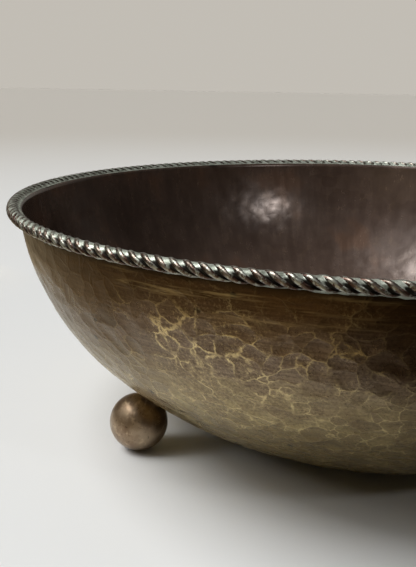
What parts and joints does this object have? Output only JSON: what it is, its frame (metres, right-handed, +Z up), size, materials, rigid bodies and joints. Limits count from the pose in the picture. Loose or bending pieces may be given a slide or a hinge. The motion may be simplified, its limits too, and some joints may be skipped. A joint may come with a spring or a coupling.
{
  "type": "footed bowl",
  "caption": "Wide round hammered copper bowl with a twisted wire rim and ball feet, for fruit, flowers or display.",
  "frame": {"origin": "on the table plane, under the bowl's axis", "axes": "+Z up along the bowl's axis; the back foot stands on +Y"},
  "size_m": [0.356, 0.356, 0.1147],
  "materials": {
    "bowl_copper": "hammered copper with a brown patina, worn to gold along the hammer marks' edges; satin",
    "rope_copper": "aged copper wire, dark between the turns and pinkish brown on top; semi-gloss",
    "soft_solder": "dull tin solder, wiped and tarnished",
    "ball_copper": "brown patina with soft polish and small knocks",
    "foot_solder": "tarnished tin solder"
  },
  "bodies": {
    "root": {"bowl_body": "bowl_copper", "rim_solder": "soft_solder", "rope_strand_1": "rope_copper", "rope_strand_2": "rope_copper", "rope_strand_3": "rope_copper", "front_left_foot": "ball_copper", "front_left_foot_solder": "foot_solder", "front_right_foot": "ball_copper", "front_right_foot_solder": "foot_solder", "back_foot": "ball_copper", "back_foot_solder": "foot_solder"}
  },
  "joints": []
}
